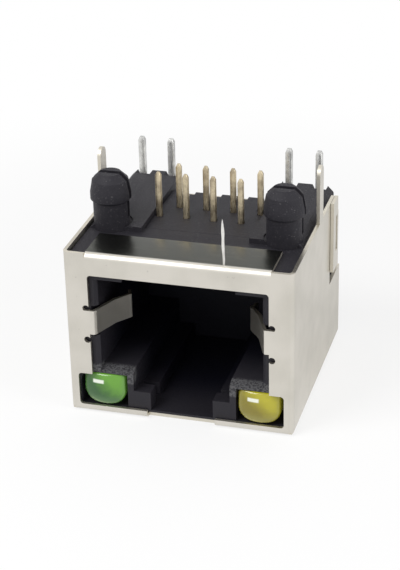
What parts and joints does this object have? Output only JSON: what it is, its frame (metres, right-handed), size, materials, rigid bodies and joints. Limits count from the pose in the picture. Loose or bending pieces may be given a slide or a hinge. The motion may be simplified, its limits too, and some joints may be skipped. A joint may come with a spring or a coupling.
{
  "type": "rj45 board jack",
  "caption": "Shielded right-angle modular network jack for a circuit board, with window lamps, board pegs and staggered solder tails.",
  "frame": {"origin": "centre of the flat roof face that the jack lies on, under the middle of its box", "axes": "+Z from the roof to the board side, +Y from the plug port to the back, +X to the right seen from the port"},
  "size_m": [0.017, 0.0158, 0.017],
  "materials": {
    "shield_plate": "nickel plated, satin",
    "black_moulding": "fine matt grain",
    "contact_metal": "plated bronze, semi-bright",
    "green_lens": "clear tinted, glossy",
    "yellow_lens": "clear tinted, glossy",
    "tinned_wire": "bright tin"
  },
  "bodies": {
    "root": {"shield_shell": "shield_plate", "rear_cover": "shield_plate", "housing": "black_moulding", "contact_carrier": "black_moulding", "contact_1": "contact_metal", "contact_2": "contact_metal", "contact_3": "contact_metal", "contact_4": "contact_metal", "contact_5": "contact_metal", "contact_6": "contact_metal", "contact_7": "contact_metal", "contact_8": "contact_metal", "lamp_green": "green_lens", "lamp_yellow": "yellow_lens", "lamp_lead_1": "tinned_wire", "lamp_lead_2": "tinned_wire", "lamp_lead_3": "tinned_wire", "lamp_lead_4": "tinned_wire", "edge_sliver": "shield_plate"}
  },
  "joints": []
}
